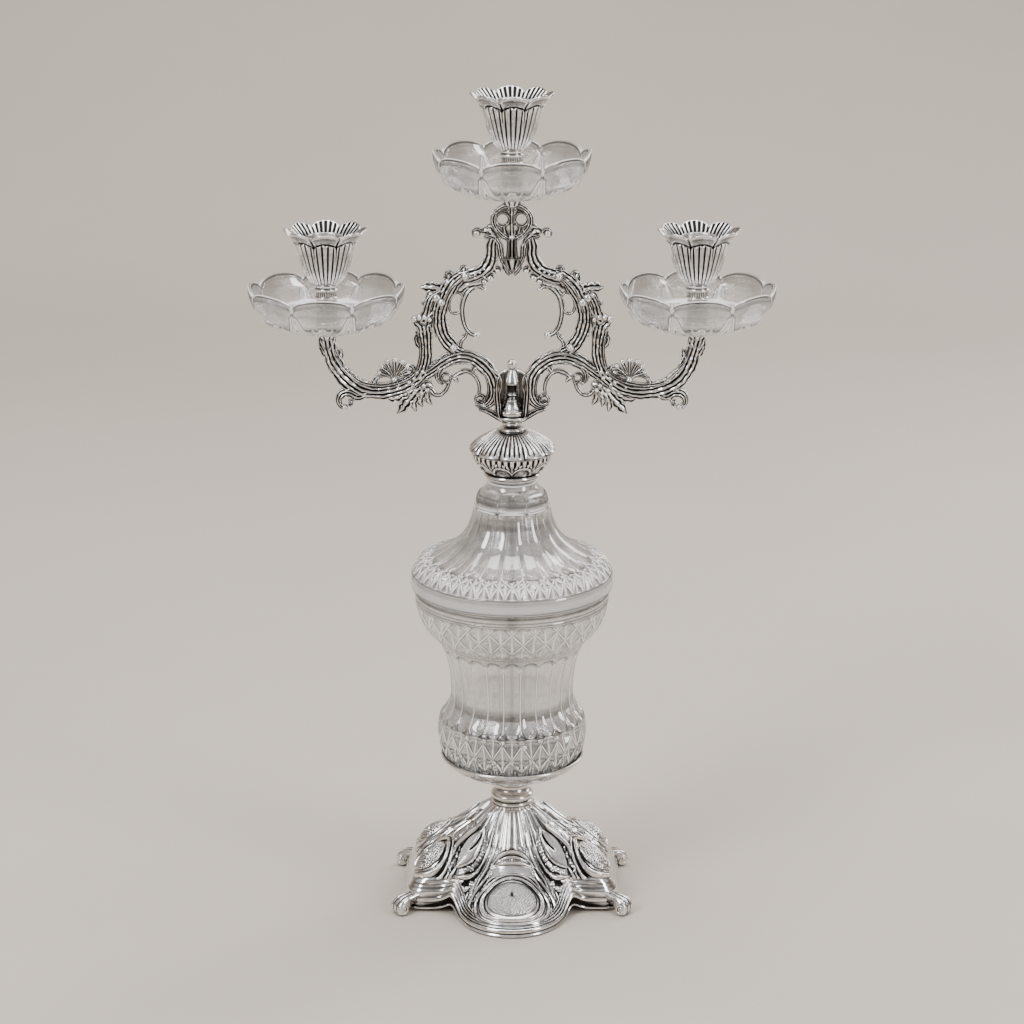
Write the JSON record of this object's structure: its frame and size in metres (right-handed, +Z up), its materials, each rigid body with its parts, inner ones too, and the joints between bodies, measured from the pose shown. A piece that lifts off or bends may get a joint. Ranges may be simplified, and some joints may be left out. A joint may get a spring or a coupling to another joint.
{
  "type": "tabletop candelabra",
  "caption": "Tabletop candelabra with petal candle cups over scalloped crystal drip pans on a scrolled cast branch, a lidded cut-crystal urn stem and a lobed footed base.",
  "frame": {"origin": "on the ground, on the axis of the tie rod", "axes": "+Z up along the tie rod, +X towards the right light, front towards -Y"},
  "size_m": [0.355, 0.1632, 0.5735],
  "materials": {
    "cast_silver": "silver plate on cast metal, bright on the high points with dark patina in the recesses",
    "bright_silver": "polished silver plate on turned metal",
    "crystal": "clear lead crystal, polished, with cut flutes, diamonds and fans",
    "steel": "plain threaded steel",
    "gasket": "clear soft seating ring",
    "felt": "pale felt washer"
  },
  "bodies": {
    "stand": {"base_casting": "cast_silver", "base_nut": "steel", "base_washer": "steel", "centring_flange": "steel", "coupling_nut": "steel", "crystal_lid": "crystal", "crystal_urn": "crystal", "foot_back_left": "cast_silver", "foot_back_right": "cast_silver", "foot_front_left": "cast_silver", "foot_front_right": "cast_silver", "knop_cap": "cast_silver", "knop_gallery": "cast_silver", "lid_gasket": "gasket", "lower_tie_rod": "steel", "neck_spool": "bright_silver", "rim_gasket": "gasket", "stem_knob": "bright_silver", "stop_nut": "steel", "upper_tie_rod": "steel", "urn_cup": "bright_silver", "urn_gasket": "gasket"},
    "branch": {"acanthus_left": "cast_silver", "acanthus_right": "cast_silver", "arm_curl_left": "cast_silver", "arm_curl_right": "cast_silver", "arm_left": "cast_silver", "arm_right": "cast_silver", "branch_hub": "cast_silver", "c_scroll_left": "cast_silver", "c_scroll_right": "cast_silver", "calyx_centre": "cast_silver", "calyx_left": "cast_silver", "calyx_right": "cast_silver", "crest": "cast_silver", "inner_tendril_left": "cast_silver", "inner_tendril_right": "cast_silver", "light_studs": "steel", "lower_tendril_left": "cast_silver", "lower_tendril_right": "cast_silver", "palmette_left": "cast_silver", "palmette_right": "cast_silver", "pan_washers": "felt", "s_scroll_left": "cast_silver", "s_scroll_right": "cast_silver"},
    "pan_left": {"drip_pan_left": "crystal"},
    "socket_left": {"nozzle_collar_left": "bright_silver", "candle_socket_left": "bright_silver"},
    "cup_left": {"petal_cup_left": "cast_silver"},
    "pan_centre": {"drip_pan_centre": "crystal"},
    "socket_centre": {"nozzle_collar_centre": "bright_silver", "candle_socket_centre": "bright_silver"},
    "cup_centre": {"petal_cup_centre": "cast_silver"},
    "pan_right": {"drip_pan_right": "crystal"},
    "socket_right": {"nozzle_collar_right": "bright_silver", "candle_socket_right": "bright_silver"},
    "cup_right": {"petal_cup_right": "cast_silver"},
    "finial_washer": {"finial_bell": "bright_silver"},
    "finial": {"finial_nut": "bright_silver"}
  },
  "joints": [
    {"name": "branch_swivel", "type": "hinge", "parent": "stand", "child": "branch", "pos_m": [0, 0, 0.3495], "axis": [0, 0, 1], "continuous": true},
    {"name": "pan_turn_left", "type": "hinge", "parent": "branch", "child": "pan_left", "pos_m": [-0.125, 0, 0.4115], "axis": [0, 0, 1], "continuous": true},
    {"name": "socket_lift_left", "type": "slide", "parent": "pan_left", "child": "socket_left", "axis": [0, 0, 1], "range_m": [0, 0.004]},
    {"name": "cup_turn_left", "type": "hinge", "parent": "socket_left", "child": "cup_left", "pos_m": [-0.125, 0, 0.444], "axis": [0, 0, 1], "range_deg": [0, 1800]},
    {"name": "pan_turn_centre", "type": "hinge", "parent": "branch", "child": "pan_centre", "pos_m": [0, 0, 0.5025], "axis": [0, 0, 1], "continuous": true},
    {"name": "socket_lift_centre", "type": "slide", "parent": "pan_centre", "child": "socket_centre", "axis": [0, 0, 1], "range_m": [0, 0.004]},
    {"name": "cup_turn_centre", "type": "hinge", "parent": "socket_centre", "child": "cup_centre", "pos_m": [0, 0, 0.535], "axis": [0, 0, 1], "range_deg": [0, 1800]},
    {"name": "pan_turn_right", "type": "hinge", "parent": "branch", "child": "pan_right", "pos_m": [0.125, 0, 0.4115], "axis": [0, 0, 1], "continuous": true},
    {"name": "socket_lift_right", "type": "slide", "parent": "pan_right", "child": "socket_right", "axis": [0, 0, 1], "range_m": [0, 0.004]},
    {"name": "cup_turn_right", "type": "hinge", "parent": "socket_right", "child": "cup_right", "pos_m": [0.125, 0, 0.444], "axis": [0, 0, 1], "range_deg": [0, 1800]},
    {"name": "finial_lift", "type": "slide", "parent": "branch", "child": "finial_washer", "axis": [0, 0, 1], "range_m": [0, 0.0042]},
    {"name": "finial_turn", "type": "hinge", "parent": "finial_washer", "child": "finial", "pos_m": [0, 0, 0.364], "axis": [0, 0, 1], "range_deg": [0, 2160]}
  ],
  "couplings": [
    {"joint": "cup_turn_left", "follows": "socket_lift_left", "rad_per_m": 7853.9},
    {"joint": "cup_turn_centre", "follows": "socket_lift_centre", "rad_per_m": 7853.9},
    {"joint": "cup_turn_right", "follows": "socket_lift_right", "rad_per_m": 7853.9},
    {"joint": "finial_turn", "follows": "finial_lift", "rad_per_m": 8975.9}
  ]
}
